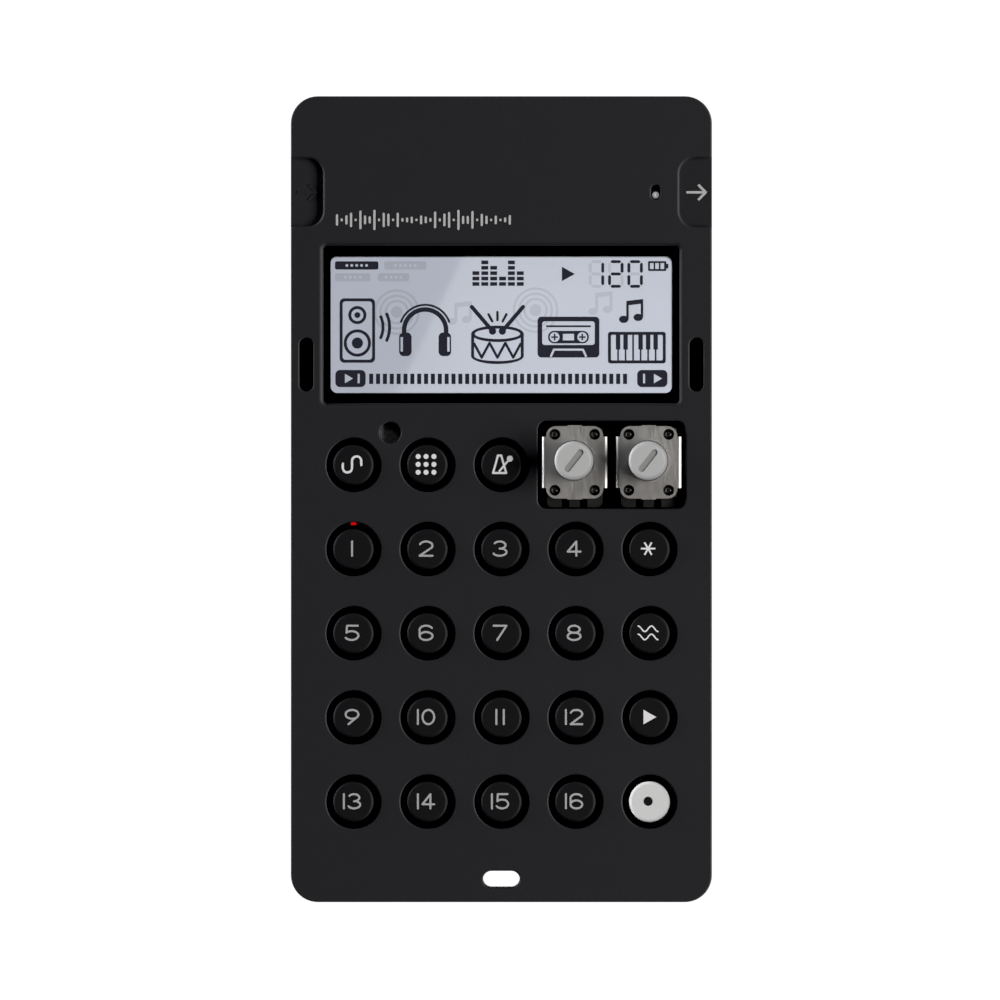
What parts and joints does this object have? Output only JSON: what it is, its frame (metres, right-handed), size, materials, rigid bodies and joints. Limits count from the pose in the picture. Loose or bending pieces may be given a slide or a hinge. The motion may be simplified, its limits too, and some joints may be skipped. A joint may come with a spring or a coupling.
{
  "type": "pocket music sampler",
  "caption": "Pocket-size music sampler in a black rubber case with round press keys, slotted control shafts, a segment display, side jacks and a sliding battery door.",
  "frame": {"origin": "middle of the case's back, on the surface it lies on", "axes": "+X to the right of the face, +Y towards the jack end, +Z out of the face"},
  "size_m": [0.064, 0.1226, 0.0254],
  "materials": {
    "case_rubber": "matt moulded rubber",
    "key_rubber": "satin moulded rubber",
    "record_key_rubber": "satin moulded rubber",
    "board_laminate": "black solder mask",
    "switch_plastic": "moulded",
    "light_resin": "red lamp resin",
    "chip_plastic": "moulded",
    "crystal_metal": "plain can",
    "capacitor_metal": "plain can",
    "microphone_metal": "felt-faced can",
    "boot_rubber": "moulded",
    "jack_plastic": "moulded",
    "collar_metal": "plated",
    "contact_metal": "plated",
    "lens_plastic": "clear white lens",
    "frame_plastic": "black",
    "display_cell": "grey liquid crystal cell",
    "reflector_film": "pale film",
    "connector_rubber": "layered rubber",
    "shaft_plastic": "moulded light grey",
    "base_plastic": "moulded",
    "bracket_metal": "tin-plated sheet",
    "rivet_plastic": "heat-staked",
    "element_wafer": "resin wafer",
    "wiper_metal": "plain",
    "speaker_metal": "painted",
    "cone_paper": "pressed paper",
    "magnet_metal": "plain",
    "cell_jacket": "plain jacket",
    "holder_plastic": "moulded",
    "spring_metal": "nickel-plated"
  },
  "bodies": {
    "case": {"battery_contacts": "spring_metal", "battery_holder": "holder_plastic", "battery_springs": "spring_metal", "capacitors": "capacitor_metal", "clock_crystal": "crystal_metal", "display_connectors": "connector_rubber", "display_frame": "frame_plastic", "display_glass": "display_cell", "display_reflector": "reflector_film", "front_cover": "case_rubber", "jack_collars": "collar_metal", "jack_contacts": "contact_metal", "left_jack": "jack_plastic", "lower_battery": "cell_jacket", "main_board": "board_laminate", "memory_chip": "chip_plastic", "microphone": "microphone_metal", "microphone_boot": "boot_rubber", "potentiometer_bases": "base_plastic", "potentiometer_brackets": "bracket_metal", "potentiometer_rivets": "rivet_plastic", "processor_chip": "chip_plastic", "rear_cover": "case_rubber", "resistor_elements": "element_wafer", "right_jack": "jack_plastic", "speaker_basket": "speaker_metal", "speaker_cone": "cone_paper", "speaker_magnet": "magnet_metal", "status_lens": "lens_plastic", "step_lights": "light_resin", "tactile_switches": "switch_plastic", "upper_battery": "cell_jacket"},
    "battery_door": {"battery_door": "case_rubber"},
    "left_knob": {"left_knob": "shaft_plastic", "left_wiper": "wiper_metal"},
    "right_knob": {"right_knob": "shaft_plastic", "right_wiper": "wiper_metal"},
    "key_sound": {"key_sound": "key_rubber"},
    "key_pattern": {"key_pattern": "key_rubber"},
    "key_tempo": {"key_tempo": "key_rubber"},
    "key_1": {"key_1": "key_rubber"},
    "key_2": {"key_2": "key_rubber"},
    "key_3": {"key_3": "key_rubber"},
    "key_4": {"key_4": "key_rubber"},
    "key_5": {"key_5": "key_rubber"},
    "key_6": {"key_6": "key_rubber"},
    "key_7": {"key_7": "key_rubber"},
    "key_8": {"key_8": "key_rubber"},
    "key_9": {"key_9": "key_rubber"},
    "key_10": {"key_10": "key_rubber"},
    "key_11": {"key_11": "key_rubber"},
    "key_12": {"key_12": "key_rubber"},
    "key_13": {"key_13": "key_rubber"},
    "key_14": {"key_14": "key_rubber"},
    "key_15": {"key_15": "key_rubber"},
    "key_16": {"key_16": "key_rubber"},
    "key_write": {"key_write": "key_rubber"},
    "key_effect": {"key_effect": "key_rubber"},
    "key_play": {"key_play": "key_rubber"},
    "key_record": {"key_record": "record_key_rubber"}
  },
  "joints": [
    {"name": "door_slide", "type": "slide", "parent": "case", "child": "battery_door", "axis": [0, 1, 0], "range_m": [0, 0.034]},
    {"name": "left_knob_turn", "type": "hinge", "parent": "case", "child": "left_knob", "pos_m": [0.01102, 0.00585, 0.0234], "axis": [0, 0, 1], "range_deg": [-112, 188]},
    {"name": "right_knob_turn", "type": "hinge", "parent": "case", "child": "right_knob", "pos_m": [0.02227, 0.00585, 0.0234], "axis": [0, 0, 1], "range_deg": [-112, 188]},
    {"name": "key_sound_press", "type": "slide", "parent": "case", "child": "key_sound", "axis": [0, 0, -1], "range_m": [0, 0.0005], "stiffness_N_per_m": 2000},
    {"name": "key_pattern_press", "type": "slide", "parent": "case", "child": "key_pattern", "axis": [0, 0, -1], "range_m": [0, 0.0005], "stiffness_N_per_m": 2000},
    {"name": "key_tempo_press", "type": "slide", "parent": "case", "child": "key_tempo", "axis": [0, 0, -1], "range_m": [0, 0.0005], "stiffness_N_per_m": 2000},
    {"name": "key_1_press", "type": "slide", "parent": "case", "child": "key_1", "axis": [0, 0, -1], "range_m": [0, 0.0005], "stiffness_N_per_m": 2000},
    {"name": "key_2_press", "type": "slide", "parent": "case", "child": "key_2", "axis": [0, 0, -1], "range_m": [0, 0.0005], "stiffness_N_per_m": 2000},
    {"name": "key_3_press", "type": "slide", "parent": "case", "child": "key_3", "axis": [0, 0, -1], "range_m": [0, 0.0005], "stiffness_N_per_m": 2000},
    {"name": "key_4_press", "type": "slide", "parent": "case", "child": "key_4", "axis": [0, 0, -1], "range_m": [0, 0.0005], "stiffness_N_per_m": 2000},
    {"name": "key_5_press", "type": "slide", "parent": "case", "child": "key_5", "axis": [0, 0, -1], "range_m": [0, 0.0005], "stiffness_N_per_m": 2000},
    {"name": "key_6_press", "type": "slide", "parent": "case", "child": "key_6", "axis": [0, 0, -1], "range_m": [0, 0.0005], "stiffness_N_per_m": 2000},
    {"name": "key_7_press", "type": "slide", "parent": "case", "child": "key_7", "axis": [0, 0, -1], "range_m": [0, 0.0005], "stiffness_N_per_m": 2000},
    {"name": "key_8_press", "type": "slide", "parent": "case", "child": "key_8", "axis": [0, 0, -1], "range_m": [0, 0.0005], "stiffness_N_per_m": 2000},
    {"name": "key_9_press", "type": "slide", "parent": "case", "child": "key_9", "axis": [0, 0, -1], "range_m": [0, 0.0005], "stiffness_N_per_m": 2000},
    {"name": "key_10_press", "type": "slide", "parent": "case", "child": "key_10", "axis": [0, 0, -1], "range_m": [0, 0.0005], "stiffness_N_per_m": 2000},
    {"name": "key_11_press", "type": "slide", "parent": "case", "child": "key_11", "axis": [0, 0, -1], "range_m": [0, 0.0005], "stiffness_N_per_m": 2000},
    {"name": "key_12_press", "type": "slide", "parent": "case", "child": "key_12", "axis": [0, 0, -1], "range_m": [0, 0.0005], "stiffness_N_per_m": 2000},
    {"name": "key_13_press", "type": "slide", "parent": "case", "child": "key_13", "axis": [0, 0, -1], "range_m": [0, 0.0005], "stiffness_N_per_m": 2000},
    {"name": "key_14_press", "type": "slide", "parent": "case", "child": "key_14", "axis": [0, 0, -1], "range_m": [0, 0.0005], "stiffness_N_per_m": 2000},
    {"name": "key_15_press", "type": "slide", "parent": "case", "child": "key_15", "axis": [0, 0, -1], "range_m": [0, 0.0005], "stiffness_N_per_m": 2000},
    {"name": "key_16_press", "type": "slide", "parent": "case", "child": "key_16", "axis": [0, 0, -1], "range_m": [0, 0.0005], "stiffness_N_per_m": 2000},
    {"name": "key_write_press", "type": "slide", "parent": "case", "child": "key_write", "axis": [0, 0, -1], "range_m": [0, 0.0005], "stiffness_N_per_m": 2000},
    {"name": "key_effect_press", "type": "slide", "parent": "case", "child": "key_effect", "axis": [0, 0, -1], "range_m": [0, 0.0005], "stiffness_N_per_m": 2000},
    {"name": "key_play_press", "type": "slide", "parent": "case", "child": "key_play", "axis": [0, 0, -1], "range_m": [0, 0.0005], "stiffness_N_per_m": 2000},
    {"name": "key_record_press", "type": "slide", "parent": "case", "child": "key_record", "axis": [0, 0, -1], "range_m": [0, 0.0005], "stiffness_N_per_m": 2000}
  ]
}
